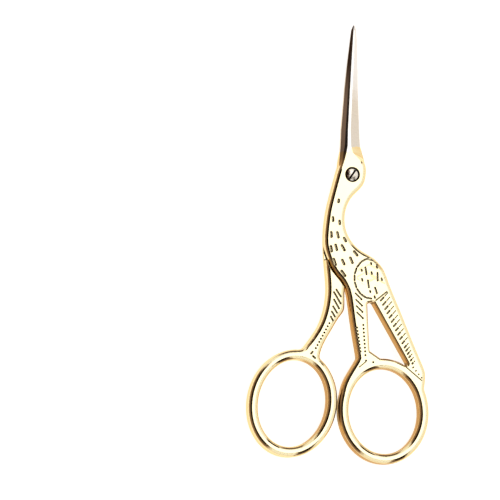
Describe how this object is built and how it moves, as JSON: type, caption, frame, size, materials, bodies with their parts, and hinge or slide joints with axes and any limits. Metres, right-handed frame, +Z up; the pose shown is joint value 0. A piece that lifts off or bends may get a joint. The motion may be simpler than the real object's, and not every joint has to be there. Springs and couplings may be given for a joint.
{
  "type": "stork embroidery scissors",
  "caption": "Slim embroidery scissors shaped as a standing stork: pointed beak blades, chased neck and wing, and legs that end in finger rings.",
  "frame": {"origin": "on the pivot axis, in the plane that the closed scissors lie on", "axes": "+Y along the closed blades towards the tips, +X to the bird's tail side, +Z up out of the face with the screw head"},
  "size_m": [0.0526, 0.125, 0.0042],
  "materials": {
    "gold_plated_steel": "polished pale gold plating on forged steel, with the blades ground to bare bright steel",
    "screw_steel": "bright turned steel"
  },
  "bodies": {
    "back_leaf": {"back_half": "gold_plated_steel", "pivot_screw": "screw_steel"},
    "front_leaf": {"stork_half": "gold_plated_steel"}
  },
  "joints": [
    {"name": "blade_pivot", "type": "hinge", "parent": "back_leaf", "child": "front_leaf", "pos_m": [0, 0, 0.0021], "axis": [0, 0, 1], "range_deg": [0, 75]}
  ]
}
